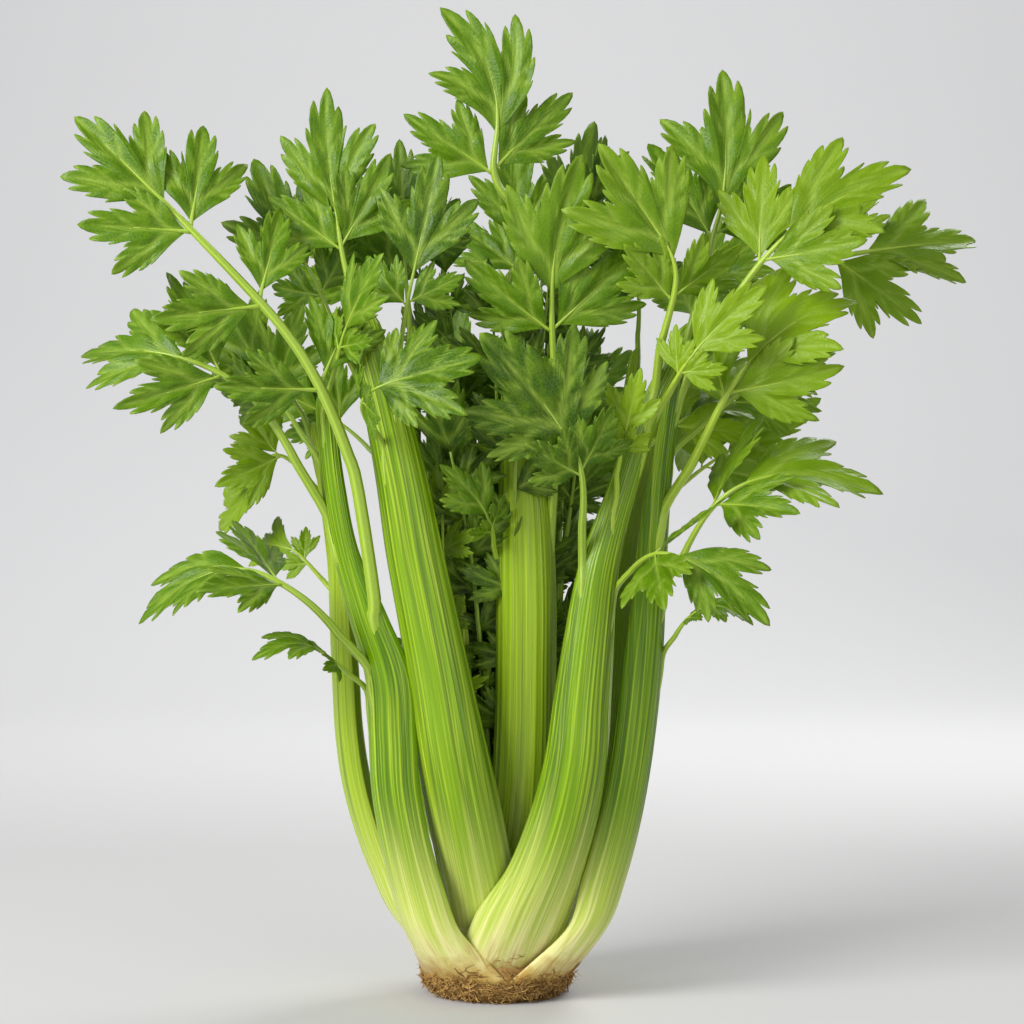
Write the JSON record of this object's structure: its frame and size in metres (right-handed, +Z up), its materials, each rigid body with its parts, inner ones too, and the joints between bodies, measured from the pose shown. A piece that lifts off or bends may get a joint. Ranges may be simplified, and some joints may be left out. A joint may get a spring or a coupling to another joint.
{
  "type": "head of celery",
  "caption": "Head of celery standing on its trimmed crown: ribbed stalks wrapped round one another at the foot, spreading into sprays of toothed, three-lobed leaves.",
  "frame": {"origin": "centre of the trimmed underside of the crown, which the head stands on", "axes": "+Z up along the stalks, -Y towards the front of the head, +X to the right as seen from the front"},
  "size_m": [0.3983, 0.2158, 0.414],
  "materials": {
    "crown": "matte",
    "stalk": "satin",
    "heart_stalk": "satin",
    "leaf": "satin"
  },
  "bodies": {
    "root": {"crown": "crown", "heart_leaf_back_1": "leaf", "heart_leaf_left_1": "leaf", "heart_leaf_right_1": "leaf", "heart_stalk_back": "heart_stalk", "heart_stalk_left": "heart_stalk", "heart_stalk_right": "heart_stalk", "leaf_back_1": "leaf", "leaf_back_2": "leaf", "leaf_back_3": "leaf", "leaf_back_inner_1": "leaf", "leaf_back_left_1": "leaf", "leaf_back_left_2": "leaf", "leaf_front_inner_1": "leaf", "leaf_front_inner_2": "leaf", "leaf_front_inner_3": "leaf", "leaf_front_left_1": "leaf", "leaf_front_left_2": "leaf", "leaf_front_left_3": "leaf", "leaf_front_left_4": "leaf", "leaf_front_right_1": "leaf", "leaf_front_right_2": "leaf", "leaf_front_right_3": "leaf", "leaf_front_right_4": "leaf", "leaf_front_right_5": "leaf", "leaf_front_right_6": "leaf", "leaf_front_right_7": "leaf", "leaf_left_back_1": "leaf", "leaf_left_back_2": "leaf", "leaf_left_back_3": "leaf", "leaf_left_front_1": "leaf", "leaf_left_front_2": "leaf", "leaf_left_front_3": "leaf", "leaf_left_front_4": "leaf", "leaf_left_front_5": "leaf", "leaf_left_front_6": "leaf", "leaf_left_inner_1": "leaf", "leaf_right_back_1": "leaf", "leaf_right_back_2": "leaf", "leaf_right_back_3": "leaf", "leaf_right_front_1": "leaf", "leaf_right_front_2": "leaf", "leaf_right_front_3": "leaf", "leaf_right_front_4": "leaf", "leaf_right_front_5": "leaf", "leaf_right_inner_1": "leaf", "leaf_right_inner_2": "leaf", "stalk_back": "stalk", "stalk_back_inner": "stalk", "stalk_back_left": "stalk", "stalk_front_inner": "stalk", "stalk_front_left": "stalk", "stalk_front_right": "stalk", "stalk_left_back": "stalk", "stalk_left_front": "stalk", "stalk_left_inner": "stalk", "stalk_right_back": "stalk", "stalk_right_front": "stalk", "stalk_right_inner": "stalk"}
  },
  "joints": []
}
